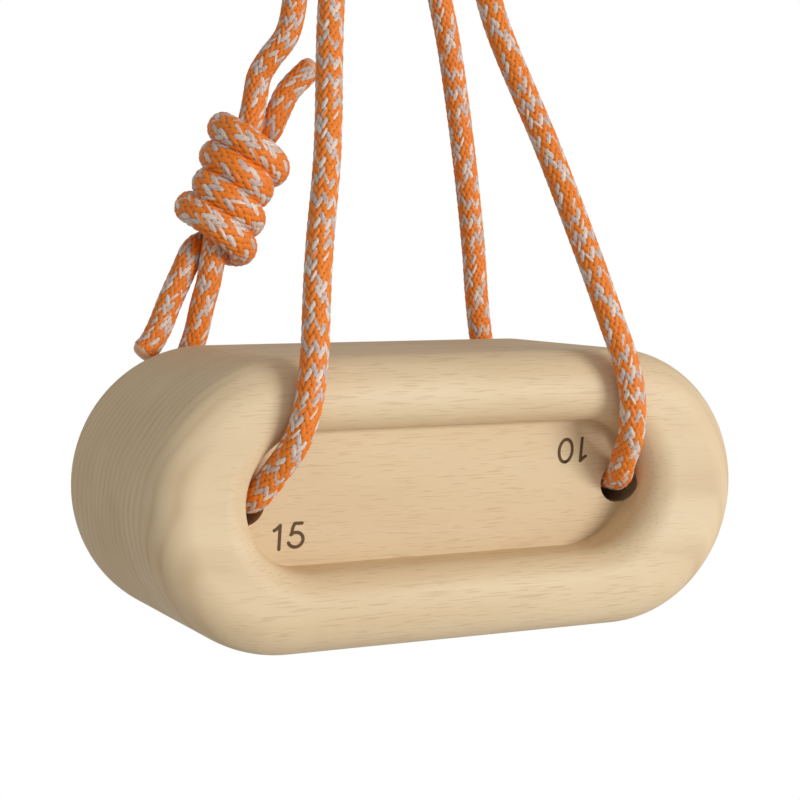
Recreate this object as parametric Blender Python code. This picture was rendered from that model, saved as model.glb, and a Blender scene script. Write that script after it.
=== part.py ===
"""Portable hangboard: a beech block with one finger pocket, hung on a doubled loop of cord.

All sizes are metres. The hand-chosen routes are in millimetres, in the block's own
frame: X along the block to the right, Y to its back, Z up, from the block's centre.
The world origin is the centre of whatever the loop hangs over.
"""

import math

import bmesh
import bpy
import numpy as np
from mathutils import Matrix, Vector
from mathutils.bvhtree import BVHTree

MILLIMETRE = 0.001

# The block
BLOCK_LENGTH = 0.150
BLOCK_HEIGHT = 0.066
BLOCK_DEPTH = 0.068
BLOCK_FRONT_FILLET = 0.0095
BLOCK_BACK_FILLET = 0.008
BLOCK_END_SIDES = 24
BLOCK_FRONT_FILLET_STEPS = 6
BLOCK_BACK_FILLET_STEPS = 6

# The finger pocket. Its floor slants, so that the lower ledge is the deeper one.
POCKET_FLOOR_LENGTH = 0.1014
POCKET_FLOOR_HEIGHT = 0.031
POCKET_CENTRE_X = -0.0015
POCKET_CENTRE_Z = 0.001
LOWER_LEDGE_DEPTH = 0.015
UPPER_LEDGE_DEPTH = 0.010
POCKET_LIP_RADIUS = 0.007
POCKET_LIP_STEPS = 6

# The two cord holes, from the pocket floor to the back
HOLE_DIAMETER = 0.010
HOLE_X = 0.0485
HOLE_Z = 0.0004
HOLE_BACK_FLARE = 0.0025
HOLE_FLARE_STEPS = 4
HOLE_SIDES = 24
HOLE_RISE_ABOVE_FLOOR = 0.003
CUTTER_OVERRUN = 0.003

# The cord
CORD_DIAMETER = 0.006
CORD_GAP = 0.0004
CORD_POINT_SPACING = 0.0025
CORD_BEVEL_STEPS = 2
TIP_LENGTH = 0.0016
TIP_END_SHARE = 0.8
TIP_SIDES = 12

# The support that the loop hangs over, in the block's frame, and how the block leans under it
PIVOT = Vector((0.0, 0.0175, 0.166))
BLOCK_TILT = math.radians(5.3)
BIGHT_RADIUS = 0.0115
BIGHT_END_ANGLE = math.radians(12.0)
BIGHT_STEPS = 16
FRONT_BIGHT_Y = 0.0143
REAR_BIGHT_Y = 0.0207

# The knot: two strands, each wound round the other, drawn thinner where they press together
KNOT_CENTRE = Vector((-0.03124, 0.0339, 0.07125))
KNOT_AXIS = Vector((0.448, -0.064, 0.892))
KNOT_FRONT = Vector((-0.30, -0.949, 0.094))
KNOT_CORD_DIAMETER = 0.0056
KNOT_LEAST_GAP = 0.0004
KNOT_COIL_RADIUS = 7.8
KNOT_PITCH = 7.09
KNOT_FRONT_CROSSINGS = 2
KNOT_FIRST_CROSSING = 3.51
KNOT_POINTS_PER_LOOP = 24
KNOT_START_ANGLE = -90.0
KNOT_SWAP_START = 41.6
KNOT_SWAP_ANGLE = 148.5
KNOT_SWAP_RISE = 9.32
KNOT_SWAP_RISE_POWER = 1.86
KNOT_SWAP_RADIUS_POWER = 0.83
KNOT_DRIFT = 1.8
KNOT_DRIFT_START = 7.0
KNOT_DRIFT_END = 16.0
KNOT_BEVEL_STEPS = 1
KNOT_POINT_SPACING = 0.0017

# Where each stretch of cord runs, in millimetres
LEFT_HOLE_ROUTE = [(-48.8, -17.0, 1.6), (-48.8, 5.0, 1.6), (-48.8, 27.5, 1.6)]
RIGHT_HOLE_ROUTE = [(45.8, -17.0, 1.6), (45.8, 5.0, 1.6), (45.8, 27.5, 1.6)]
FRONT_LEFT_ROUTE = [
    (-48.8, -17.0, 1.6),
    (-48.8, -20.0, 1.6),
    (-48.7, -22.3, 1.6),
    (-48.0, -25.0, 2.8),
    (-46.8, -27.6, 5.6),
    (-45.4, -30.7, 9.3),
    (-44.2, -33.4, 12.4),
    (-43.1, -35.6, 16.0),
    (-42.2, -37.0, 19.7),
    (-41.0, -37.6, 25.6),
    (-39.4, -36.4, 34.9),
    (-37.6, -33.2, 45.1),
    (-35.2, -29.3, 56.9),
    (-30.2, -22.2, 77.5),
    (-24.4, -10.9, 109.1),
    (-21.0, -5.7, 122.0),
    (-17.0, 0.6, 136.0),
    (-13.6, 7.0, 149.0),
]
FRONT_RIGHT_ROUTE = [
    (45.8, -17.0, 1.6),
    (45.8, -20.0, 1.6),
    (45.8, -22.3, 1.6),
    (45.4, -24.4, 2.3),
    (44.5, -26.4, 3.7),
    (43.5, -28.6, 5.8),
    (42.7, -31.4, 8.8),
    (41.8, -34.8, 12.9),
    (40.8, -37.0, 18.2),
    (40.1, -37.7, 23.4),
    (39.1, -37.4, 28.4),
    (38.0, -36.3, 33.4),
    (36.4, -34.4, 39.9),
    (33.9, -31.2, 50.5),
    (27.0, -21.4, 78.9),
    (18.8, -10.9, 108.2),
    (17.0, -5.7, 122.0),
    (15.2, 0.6, 136.0),
    (13.6, 7.0, 149.0),
]
REAR_RIGHT_ROUTE = [
    (45.8, 27.5, 1.6),
    (45.8, 30.5, 1.6),
    (45.8, 33.1, 2.0),
    (45.8, 35.6, 3.5),
    (45.7, 37.1, 5.9),
    (45.4, 37.6, 9.3),
    (44.8, 37.6, 13.5),
    (43.8, 37.6, 18.5),
    (42.3, 37.6, 25.6),
    (40.9, 37.3, 31.8),
    (39.7, 36.5, 36.8),
    (38.4, 35.7, 44.5),
    (36.8, 34.6, 56.9),
    (32.6, 32.4, 81.3),
    (26.9, 30.1, 108.9),
    (23.0, 28.6, 122.0),
    (18.2, 26.7, 136.0),
    (13.6, 24.4, 149.0),
]
REAR_LEFT_ROUTE = [
    (-48.8, 27.5, 1.6),
    (-48.8, 30.5, 1.6),
    (-48.8, 33.1, 2.0),
    (-48.7, 35.6, 3.5),
    (-48.4, 37.1, 5.9),
    (-47.8, 37.7, 9.3),
    (-46.8, 37.8, 13.5),
    (-45.2, 37.9, 18.7),
    (-43.2, 37.9, 24.0),
    (-41.9, 37.8, 29.0),
    (-40.1, 36.2, 35.6),
    (-38.7, 35.2, 42.8),
]
REAR_LEFT_UPPER_ROUTE = [
    (-23.6, 34.9, 99.0),
    (-21.6, 33.2, 103.2),
    (-17.9, 30.2, 109.4),
    (-15.9, 28.6, 122.0),
    (-14.7, 26.8, 136.0),
    (-13.6, 24.4, 149.0),
]
LOWER_TAIL_ROUTE = [
    (-46.1, 38.4, 43.4),
    (-48.8, 38.5, 37.0),
    (-51.1, 38.5, 33.0),
    (-52.8, 38.6, 31.2),
]
UPPER_TAIL_ROUTE = [(-16.6, 33.5, 95.2), (-14.0, 32.7, 98.3), (-11.0, 31.8, 101.2)]
FRONT_NECK_ROUTE = [(13.6, 7.0, 149.0), (12.8, 11.6, 157.5), (11.9, 14.2, 165.5)]
REAR_NECK_ROUTE = [(13.6, 24.4, 149.0), (12.8, 22.2, 157.5), (11.9, 20.8, 165.5)]

# Where a strand enters and leaves its coil, in millimetres: right, forward and up along the
# knot, for the strand whose coil is the lower one
COIL_TAIL = [(-1.8, -2.4, -23.7), (-1.9, -2.9, -21.0), (-1.9, -4.0, -18.4), (-0.9, -6.9, -15.8)]
COIL_CORE = [(-1.4, 0.0, 11.1), (-2.6, -0.2, 14.8), (-3.6, -0.5, 18.8), (-5.0, -0.9, 23.6)]


def clear_scene():
    for old in list(bpy.data.objects):
        bpy.data.objects.remove(old)


def material(name, colour, roughness):
    made = bpy.data.materials.new(name)
    made.use_nodes = True
    shader = made.node_tree.nodes["Principled BSDF"]
    shader.inputs["Base Color"].default_value = (*colour, 1.0)
    shader.inputs["Roughness"].default_value = roughness
    shader.inputs["Metallic"].default_value = 0.0
    return made


def joint_axis(name, parent):
    """An empty at the pivot, for the pieces that turn about it."""
    axis = bpy.data.objects.new(name, None)
    bpy.context.scene.collection.objects.link(axis)
    axis.parent = parent
    return axis


def to_world(point):
    """A point of the block's frame, in metres, as it hangs under the support."""
    return Matrix.Rotation(BLOCK_TILT, 3, "X") @ (Vector(point) - PIVOT)


# The block


def stadium(length, height, centre_x, centre_z):
    """(x, z) round a bar with half-round ends, the same number of points for any size."""
    radius = height / 2
    reach = length / 2 - radius
    points = []
    for side in (1, -1):
        for step in range(BLOCK_END_SIDES + 1):
            angle = math.pi * (step / BLOCK_END_SIDES - 0.5)
            x = centre_x + side * (reach + radius * math.cos(angle))
            z = centre_z + side * radius * math.sin(angle)
            points.append((x, z))
    return points


def lofted(name, rings):
    """A closed solid through rings of equally many points."""
    build = bmesh.new()
    loops = [[build.verts.new(point) for point in ring] for ring in rings]
    count = len(loops[0])
    for lower, upper in zip(loops, loops[1:]):
        for i in range(count):
            j = (i + 1) % count
            build.faces.new((lower[i], lower[j], upper[j], upper[i]))
    build.faces.new(loops[0])
    build.faces.new(loops[-1])
    bmesh.ops.recalc_face_normals(build, faces=build.faces)
    return object_from(name, build)


def object_from(name, build):
    mesh = bpy.data.meshes.new(name)
    build.to_mesh(mesh)
    build.free()
    made = bpy.data.objects.new(name, mesh)
    bpy.context.scene.collection.objects.link(made)
    return made


def block_blank():
    """The bar with half-round ends, extruded and then rounded over at its front and back edges."""
    front_y = -BLOCK_DEPTH / 2
    back_y = BLOCK_DEPTH / 2
    build = bmesh.new()
    outline = [build.verts.new((x, front_y, z)) for x, z in stadium(BLOCK_LENGTH, BLOCK_HEIGHT, 0.0, 0.0)]
    face = build.faces.new(outline)
    pulled = bmesh.ops.extrude_face_region(build, geom=[face])["geom"]
    moved = [part for part in pulled if isinstance(part, bmesh.types.BMVert)]
    bmesh.ops.translate(build, verts=moved, vec=(0.0, BLOCK_DEPTH, 0.0))
    bmesh.ops.recalc_face_normals(build, faces=build.faces)
    for y, fillet, steps in (
        (front_y, BLOCK_FRONT_FILLET, BLOCK_FRONT_FILLET_STEPS),
        (back_y, BLOCK_BACK_FILLET, BLOCK_BACK_FILLET_STEPS),
    ):
        edges = [edge for edge in build.edges if all(abs(v.co.y - y) < 1e-6 for v in edge.verts)]
        bmesh.ops.bevel(build, geom=edges, offset=fillet, segments=steps, profile=0.5, affect="EDGES")
    return object_from("hangboard_block", build)


def rounding(radius, steps):
    """(depth, offset) down a quarter round that runs from a wall out to the face, and past it."""
    profile = []
    for step in range(steps):
        angle = math.pi / 2 * step / steps
        profile.append((radius * (1 - math.sin(angle)), radius * (1 - math.cos(angle))))
    last_depth, last_offset = profile[-1]
    profile.append((-last_depth, 2 * radius - last_offset))
    return profile


def pocket_cutter():
    front_y = -BLOCK_DEPTH / 2
    middle_depth = (LOWER_LEDGE_DEPTH + UPPER_LEDGE_DEPTH) / 2
    slant = (LOWER_LEDGE_DEPTH - UPPER_LEDGE_DEPTH) / POCKET_FLOOR_HEIGHT
    floor = [
        (x, front_y + middle_depth - slant * (z - POCKET_CENTRE_Z), z)
        for x, z in stadium(POCKET_FLOOR_LENGTH, POCKET_FLOOR_HEIGHT, POCKET_CENTRE_X, POCKET_CENTRE_Z)
    ]
    rings = [floor]
    for depth, offset in rounding(POCKET_LIP_RADIUS, POCKET_LIP_STEPS):
        length = POCKET_FLOOR_LENGTH + 2 * offset
        height = POCKET_FLOOR_HEIGHT + 2 * offset
        outline = stadium(length, height, POCKET_CENTRE_X, POCKET_CENTRE_Z)
        rings.append([(x, front_y + depth, z) for x, z in outline])
    return lofted("pocket_cutter", rings)


def hole_cutter(name, x):
    front_y = -BLOCK_DEPTH / 2
    back_y = BLOCK_DEPTH / 2
    start_y = front_y + (LOWER_LEDGE_DEPTH + UPPER_LEDGE_DEPTH) / 2 - HOLE_RISE_ABOVE_FLOOR
    stations = [(start_y, HOLE_DIAMETER / 2)]
    for depth, offset in rounding(HOLE_BACK_FLARE, HOLE_FLARE_STEPS):
        stations.append((back_y - depth, HOLE_DIAMETER / 2 + offset))
    last_y, last_radius = stations[-1]
    stations.append((last_y + CUTTER_OVERRUN, last_radius))
    rings = []
    for y, radius in stations:
        turns = [2 * math.pi * i / HOLE_SIDES for i in range(HOLE_SIDES)]
        rings.append([(x + radius * math.cos(a), y, HOLE_Z + radius * math.sin(a)) for a in turns])
    return lofted(name, rings)


def cut(target, cutter):
    cutter.hide_render = True
    cutter.display_type = "WIRE"
    boolean = target.modifiers.new("cut_" + cutter.name, "BOOLEAN")
    boolean.operation = "DIFFERENCE"
    boolean.solver = "EXACT"
    boolean.object = cutter


def hang(piece):
    """Moves a mesh made in the block's frame to where it hangs, its origin on the joint axes."""
    piece.data.transform(Matrix.Translation(-PIVOT))
    piece.rotation_euler.x = BLOCK_TILT


# The cord


def route(points):
    return [Vector(point) * MILLIMETRE for point in points]


def mirrored(points):
    return [(-x, y, z) for x, y, z in points]


def smooth_curve(points, before=None, after=None, per_span=12):
    """A Catmull-Rom curve through the points, finely sampled.

    It sets out as if it came from the point before, and ends as if it went on to the one after.
    """
    points = [np.array(point) for point in points]
    first = 2 * points[0] - points[1] if before is None else np.array(before)
    last = 2 * points[-1] - points[-2] if after is None else np.array(after)
    ends = [first, *points, last]
    curve = []
    for a, b, c, d in zip(ends, ends[1:], ends[2:], ends[3:]):
        t1 = np.linalg.norm(b - a) ** 0.5
        t2 = t1 + np.linalg.norm(c - b) ** 0.5
        t3 = t2 + np.linalg.norm(d - c) ** 0.5
        for t in np.linspace(t1, t2, per_span, endpoint=False):
            ab = (t1 - t) / t1 * a + t / t1 * b
            bc = (t2 - t) / (t2 - t1) * b + (t - t1) / (t2 - t1) * c
            cd = (t3 - t) / (t3 - t2) * c + (t - t2) / (t3 - t2) * d
            left = (t2 - t) / t2 * ab + t / t2 * bc
            right = (t3 - t) / (t3 - t1) * bc + (t - t1) / (t3 - t1) * cd
            curve.append((t2 - t) / (t2 - t1) * left + (t - t1) / (t2 - t1) * right)
    curve.append(points[-1])
    return np.array(curve)


def evenly(curve, spacing, trim_start, trim_end):
    """The curve with a point about every spacing, shortened at each end."""
    steps = np.linalg.norm(np.diff(curve, axis=0), axis=1)
    along = np.concatenate([[0.0], np.cumsum(steps)])
    first = trim_start
    last = along[-1] - trim_end
    count = max(2, round((last - first) / spacing) + 1)
    wanted = np.linspace(first, last, count)
    return np.stack([np.interp(wanted, along, curve[:, axis]) for axis in range(3)], axis=1)


def tube(name, points, diameter, roundness, look, parent):
    """A round tube along points of the block's frame."""
    data = bpy.data.curves.new(name, "CURVE")
    data.dimensions = "3D"
    data.bevel_depth = diameter / 2
    data.bevel_resolution = roundness
    data.use_fill_caps = True
    data.twist_mode = "MINIMUM"
    spline = data.splines.new("POLY")
    spline.points.add(len(points) - 1)
    for target, point in zip(spline.points, points):
        target.co = (*to_world(point), 1.0)
    spline.use_smooth = True
    data.materials.append(look)
    made = bpy.data.objects.new(name, data)
    bpy.context.scene.collection.objects.link(made)
    made.parent = parent
    return made


def cord(name, points, look, parent, before=None, after=None):
    """A stretch of cord along the route, half a gap short of its neighbour at each end."""
    curve = smooth_curve(points, before, after)
    line = evenly(curve, CORD_POINT_SPACING, CORD_GAP / 2, CORD_GAP / 2)
    tube(name, line, CORD_DIAMETER, CORD_BEVEL_STEPS, look, parent)
    return line


def bight_point(angle, y):
    """A point of the half turn over the support, from its left end at pi to its right end at 0."""
    x = BIGHT_RADIUS * math.cos(angle)
    z = PIVOT.z + BIGHT_RADIUS * math.sin(angle)
    return Vector((x, y, z))


def bight(name, y, look, parent):
    angles = np.linspace(math.pi - BIGHT_END_ANGLE, BIGHT_END_ANGLE, BIGHT_STEPS + 1)
    arc = np.array([bight_point(angle, y) for angle in angles])
    line = evenly(arc, BIGHT_RADIUS * math.pi / BIGHT_STEPS, CORD_GAP / 2, CORD_GAP / 2)
    tube(name, line, CORD_DIAMETER, CORD_BEVEL_STEPS, look, parent)
    return line


def sealed_tip(name, tail, look, parent):
    """The melted end of a tail: a short cone beyond the tail's last point."""
    end = Vector(tail[-1])
    heading = (end - Vector(tail[-2])).normalized()
    middle = end + heading * (CORD_GAP + TIP_LENGTH / 2)
    turn = Vector((0.0, 0.0, 1.0)).rotation_difference(heading).to_matrix().to_4x4()
    build = bmesh.new()
    bmesh.ops.create_cone(
        build,
        cap_ends=True,
        segments=TIP_SIDES,
        radius1=CORD_DIAMETER / 2,
        radius2=CORD_DIAMETER / 2 * TIP_END_SHARE,
        depth=TIP_LENGTH,
        matrix=Matrix.Translation(middle) @ turn,
    )
    tip = object_from(name, build)
    tip.data.materials.append(look)
    hang(tip)
    tip.parent = parent


# The knot


def drift(height):
    """How far the knot's two barrels sit off its axis, towards its ends."""
    share = (abs(height) - KNOT_DRIFT_START) / (KNOT_DRIFT_END - KNOT_DRIFT_START)
    share = min(max(share, 0.0), 1.0)
    return -math.copysign(KNOT_DRIFT * share * share * (3 - 2 * share), height)


def coil():
    """The lower strand: it winds up round the other one, then moves in to become the other's core.

    The winding is a helix, and past the last front crossing its radius falls to nothing
    while it climbs faster. Right, forward and up along the knot, in millimetres.
    """
    last_crossing = 90.0 + 360.0 * (KNOT_FRONT_CROSSINGS - 1)
    swap_start = last_crossing + KNOT_SWAP_START
    swap_end = swap_start + KNOT_SWAP_ANGLE
    points = []
    for angle in np.arange(KNOT_START_ANGLE, swap_end, 360.0 / KNOT_POINTS_PER_LOOP):
        share = max((angle - swap_start) / KNOT_SWAP_ANGLE, 0.0)
        ease = share * share * (3 - 2 * share)
        radius = KNOT_COIL_RADIUS * (1 - ease**KNOT_SWAP_RADIUS_POWER)
        climb = KNOT_PITCH * (angle - last_crossing) / 360.0
        height = climb - KNOT_FIRST_CROSSING + KNOT_SWAP_RISE * share**KNOT_SWAP_RISE_POWER
        right = radius * math.cos(math.radians(angle)) + drift(height)
        points.append((right, radius * math.sin(math.radians(angle)), height))
    return points


def knot_to_block(points):
    """Points along the knot's own directions, in millimetres, as points of the block's frame."""
    up = KNOT_AXIS.normalized()
    forward = (KNOT_FRONT - KNOT_FRONT.project(up)).normalized()
    right = up.cross(forward)
    return [KNOT_CENTRE + (right * u + forward * f + up * w) * MILLIMETRE for u, f, w in points]


def turned_over(points):
    """Half a turn about the knot's forward direction."""
    return [(-u, f, -w) for u, f, w in points]


def knot_strand(name, upper, look, parent):
    """One strand's points from its tail, round its coil and out as the other coil's core."""
    points = [*COIL_TAIL, *coil(), *COIL_CORE]
    if upper:
        points = turned_over(points)
    placed = knot_to_block(points)
    line = evenly(smooth_curve(placed, per_span=3), KNOT_POINT_SPACING, CORD_GAP / 2, CORD_GAP / 2)
    tube(name, line, KNOT_CORD_DIAMETER, KNOT_BEVEL_STEPS, look, parent)
    return placed, line


def least_gap(first, second, apart):
    """The least distance between two lines less a tube's width, leaving out what lies within apart."""
    distances = np.linalg.norm(first[:, None] - second[None], axis=2)
    if apart:
        index = np.arange(len(first))
        distances[np.abs(index[:, None] - index[None]) < apart] = math.inf
    return distances.min() - KNOT_CORD_DIAMETER


# The assembly


def main():
    clear_scene()
    beech = material("beech", (0.78, 0.60, 0.40), 0.55)
    sheath = material("orange_braid", (0.86, 0.30, 0.07), 0.8)
    sealed = material("melted_end", (0.35, 0.14, 0.06), 0.5)

    swing = joint_axis("fore_aft_swing_axis", None)
    side = joint_axis("side_swing_axis", swing)
    twist = joint_axis("twist_axis", side)

    block = block_blank()
    cut(block, pocket_cutter())
    cut(block, hole_cutter("left_hole_cutter", POCKET_CENTRE_X - HOLE_X))
    cut(block, hole_cutter("right_hole_cutter", POCKET_CENTRE_X + HOLE_X))
    bpy.context.view_layer.update()
    solid = BVHTree.FromObject(block, bpy.context.evaluated_depsgraph_get())
    for piece in [block, *(modifier.object for modifier in block.modifiers)]:
        hang(piece)
    block.data.materials.append(beech)
    block.data.shade_smooth()
    block.data.set_sharp_from_angle(angle=math.radians(35))
    block.parent = twist

    lower_points, lower_line = knot_strand("knot_lower_coil", False, sheath, side)
    upper_points, upper_line = knot_strand("knot_upper_coil", True, sheath, side)
    gap_points = round(CORD_DIAMETER * 2 / KNOT_POINT_SPACING)
    gaps = {
        "lower strand to itself": least_gap(lower_line, lower_line, gap_points),
        "upper strand to itself": least_gap(upper_line, upper_line, gap_points),
        "one strand to the other": least_gap(lower_line, upper_line, 0),
    }
    for what, gap in gaps.items():
        verdict = "clear" if gap > KNOT_LEAST_GAP else "too close"
        print(f"knot, {what}: {gap * 1000:.2f} mm, {verdict}")

    lines = {}
    lines["cord_in_left_hole"] = cord("cord_in_left_hole", route(LEFT_HOLE_ROUTE), sheath, twist)
    lines["cord_in_right_hole"] = cord("cord_in_right_hole", route(RIGHT_HOLE_ROUTE), sheath, twist)
    left_end = math.pi - BIGHT_END_ANGLE
    right_end = BIGHT_END_ANGLE
    front_neck = route(FRONT_NECK_ROUTE)
    rear_neck = route(REAR_NECK_ROUTE)
    front_left_neck = route(mirrored(FRONT_NECK_ROUTE))
    rear_left_neck = route(mirrored(REAR_NECK_ROUTE))
    necks = {
        "front_left_neck": [*front_left_neck, bight_point(left_end, FRONT_BIGHT_Y)],
        "front_right_neck": [*front_neck, bight_point(right_end, FRONT_BIGHT_Y)],
        "rear_left_neck": [*rear_left_neck, bight_point(left_end, REAR_BIGHT_Y)],
        "rear_right_neck": [*rear_neck, bight_point(right_end, REAR_BIGHT_Y)],
    }
    legs = {
        "front_left_leg": (route(FRONT_LEFT_ROUTE), None, necks["front_left_neck"][1]),
        "front_right_leg": (route(FRONT_RIGHT_ROUTE), None, necks["front_right_neck"][1]),
        "rear_right_leg": (route(REAR_RIGHT_ROUTE), None, necks["rear_right_neck"][1]),
        "rear_left_leg": ([*route(REAR_LEFT_ROUTE), upper_points[-1]], None, upper_points[-2]),
        "rear_left_upper_leg": (
            [lower_points[-1], *route(REAR_LEFT_UPPER_ROUTE)],
            lower_points[-2],
            necks["rear_left_neck"][1],
        ),
        "lower_tail": ([lower_points[0], *route(LOWER_TAIL_ROUTE)], lower_points[1], None),
        "upper_tail": ([upper_points[0], *route(UPPER_TAIL_ROUTE)], upper_points[1], None),
    }
    for name, (points, before, after) in legs.items():
        lines[name] = cord(name, points, sheath, side, before, after)
    sealed_tip("lower_tail_tip", lines["lower_tail"], sealed, side)
    sealed_tip("upper_tail_tip", lines["upper_tail"], sealed, side)

    above = {
        "front_left_neck": "front_left_leg",
        "front_right_neck": "front_right_leg",
        "rear_left_neck": "rear_left_upper_leg",
        "rear_right_neck": "rear_right_leg",
    }
    for neck, leg in above.items():
        cord(neck, necks[neck], sheath, swing, before=legs[leg][0][-2])
    bight("front_bight", FRONT_BIGHT_Y, sheath, None)
    bight("rear_bight", REAR_BIGHT_Y, sheath, None)

    for name, line in lines.items():
        clearance = min(solid.find_nearest(Vector(point))[3] for point in line)
        length = np.linalg.norm(np.diff(line, axis=0), axis=1).sum()
        room = clearance - CORD_DIAMETER / 2
        print(f"{name}: {length * 1000:.0f} mm long, {room * 1000:.2f} mm from the block")


main()
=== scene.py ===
# %% [markdown]
# # A portable hangboard on a doubled loop of braided cord
#
# The imported CAD model is loaded as a fixed frame. The new block, its numbers and the cord in
# its holes ride on the block's body; the rest of the cord stays where it is drawn. The wooden
# block is drawn again with finely rounded edges, and all the cord as one long braided sheath,
# cut into pieces where the joints are.

# %% Load the frame
import math

import bpy
import numpy as np
from mathutils import Matrix, Vector


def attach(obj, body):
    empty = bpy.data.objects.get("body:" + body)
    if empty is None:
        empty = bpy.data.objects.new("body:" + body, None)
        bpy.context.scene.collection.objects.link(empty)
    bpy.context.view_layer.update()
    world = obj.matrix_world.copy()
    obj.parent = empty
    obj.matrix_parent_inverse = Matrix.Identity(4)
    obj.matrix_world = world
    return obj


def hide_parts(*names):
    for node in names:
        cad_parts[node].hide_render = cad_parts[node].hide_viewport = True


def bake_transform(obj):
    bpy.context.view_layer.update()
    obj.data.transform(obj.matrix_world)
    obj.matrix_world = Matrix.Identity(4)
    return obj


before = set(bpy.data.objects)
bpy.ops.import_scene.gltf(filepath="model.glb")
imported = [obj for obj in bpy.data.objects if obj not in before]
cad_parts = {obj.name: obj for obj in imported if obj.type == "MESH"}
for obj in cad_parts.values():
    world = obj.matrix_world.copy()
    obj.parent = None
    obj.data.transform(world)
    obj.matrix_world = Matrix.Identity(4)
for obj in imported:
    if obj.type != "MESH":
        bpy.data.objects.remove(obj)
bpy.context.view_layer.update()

# %% [markdown]
# ## The block's own frame
#
# Routes and places are easiest to read in the block's frame, in millimetres: x along the block
# to its right end, y to its back, z up, from its centre. The block hangs a little nose down
# under its support, so a point p of that frame stands in the world at
#
#     turn(tilt about X) (p - pivot) / 1000

# %% From the block's frame to the world
PIVOT = np.array([0.0, 17.5, 166.0])
TILT = math.radians(5.3)
TURN = np.array([
    [1.0, 0.0, 0.0],
    [0.0, math.cos(TILT), -math.sin(TILT)],
    [0.0, math.sin(TILT), math.cos(TILT)],
])


def to_world(points):
    """Points of the block's frame, in millimetres, as world points in metres."""
    return (np.asarray(points, float) - PIVOT) @ TURN.T / 1000


print("block centre:", to_world([0, 0, 0]).round(4))

# %% [markdown]
# ## The camera
#
# The camera stands in front of the block and to its left, 20 mm above its middle, and looks
# level, turned 26 degrees to the right. A roll of two degrees comes from how it was held.

# %% Camera
CAMERA_PLACE = (-0.19884, -0.41145, -0.14713)
CAMERA_AZIMUTH = math.radians(25.847)
CAMERA_RISE = math.radians(0.048)
CAMERA_ROLL = math.radians(-2.187)
CAMERA_LENS = 84.755

forward = Vector((
    math.sin(CAMERA_AZIMUTH) * math.cos(CAMERA_RISE),
    math.cos(CAMERA_AZIMUTH) * math.cos(CAMERA_RISE),
    math.sin(CAMERA_RISE),
))
level_right = Vector((math.cos(CAMERA_AZIMUTH), -math.sin(CAMERA_AZIMUTH), 0.0))
level_up = level_right.cross(forward)
right = level_right * math.cos(CAMERA_ROLL) + level_up * math.sin(CAMERA_ROLL)
up = right.cross(forward)

camera_data = bpy.data.cameras.new("camera")
camera_data.lens = CAMERA_LENS
camera_data.sensor_width = 36.0
camera = bpy.data.objects.new("camera", camera_data)
bpy.context.scene.collection.objects.link(camera)
axes = Matrix((right, up, -forward)).transposed().to_4x4()
camera.matrix_world = Matrix.Translation(CAMERA_PLACE) @ axes
bpy.context.scene.camera = camera
print("camera looks along", [round(c, 3) for c in forward])

# %% [markdown]
# ## The way the cord runs
#
# One cord makes the whole sling. It starts at the lower tail, winds up through the knot, goes
# over the support, down behind the block, through the right hole, up in front, over the support
# again, down in front on the left, back through the left hole and up into the knot, where its
# other tail ends. These are the points of each stretch, the same ones that the CAD model uses.

# %% Points of the cord
LEFT_HOLE = [(-48.8, -17.0, 1.6), (-48.8, 5.0, 1.6), (-48.8, 27.5, 1.6)]
RIGHT_HOLE = [(45.8, -17.0, 1.6), (45.8, 5.0, 1.6), (45.8, 27.5, 1.6)]
FRONT_LEFT = [
    (-48.8, -17.0, 1.6), (-48.8, -20.0, 1.6), (-48.7, -22.3, 1.6), (-48.0, -25.0, 2.8),
    (-46.8, -27.6, 5.6), (-45.4, -30.7, 9.3), (-44.2, -33.4, 12.4), (-43.1, -35.6, 16.0),
    (-42.2, -37.0, 19.7), (-41.0, -37.6, 25.6), (-39.4, -36.4, 34.9), (-37.6, -33.2, 45.1),
    (-35.2, -29.3, 56.9), (-30.2, -22.2, 77.5), (-24.4, -10.9, 109.1), (-21.0, -5.7, 122.0),
    (-17.0, 0.6, 136.0), (-13.6, 7.0, 149.0),
]
FRONT_RIGHT = [
    (45.8, -17.0, 1.6), (45.8, -20.0, 1.6), (45.8, -22.3, 1.6), (45.4, -24.4, 2.3),
    (44.5, -26.4, 3.7), (43.5, -28.6, 5.8), (42.7, -31.4, 8.8), (41.8, -34.8, 12.9),
    (40.8, -37.0, 18.2), (40.1, -37.7, 23.4), (39.1, -37.4, 28.4), (38.0, -36.3, 33.4),
    (36.4, -34.4, 39.9), (33.9, -31.2, 50.5), (27.0, -21.4, 78.9), (18.8, -10.9, 108.2),
    (17.0, -5.7, 122.0), (15.2, 0.6, 136.0), (13.6, 7.0, 149.0),
]
REAR_RIGHT = [
    (45.8, 27.5, 1.6), (45.8, 30.5, 1.6), (45.8, 33.1, 2.0), (45.8, 35.6, 3.5),
    (45.7, 37.1, 5.9), (45.4, 37.6, 9.3), (44.8, 37.6, 13.5), (43.8, 37.6, 18.5),
    (42.3, 37.6, 25.6), (40.9, 37.3, 31.8), (39.7, 36.5, 36.8), (38.4, 35.7, 44.5),
    (36.8, 34.6, 56.9), (32.6, 32.4, 81.3), (26.9, 30.1, 108.9), (23.0, 28.6, 122.0),
    (18.2, 26.7, 136.0), (13.6, 24.4, 149.0),
]
REAR_LEFT = [
    (-48.8, 27.5, 1.6), (-48.8, 30.5, 1.6), (-48.8, 33.1, 2.0), (-48.7, 35.6, 3.5),
    (-48.4, 37.1, 5.9), (-47.8, 37.7, 9.3), (-46.8, 37.8, 13.5), (-45.2, 37.9, 18.7),
    (-43.2, 37.9, 24.0), (-41.9, 37.8, 29.0), (-40.1, 36.2, 35.6), (-38.7, 35.2, 42.8),
]
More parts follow.
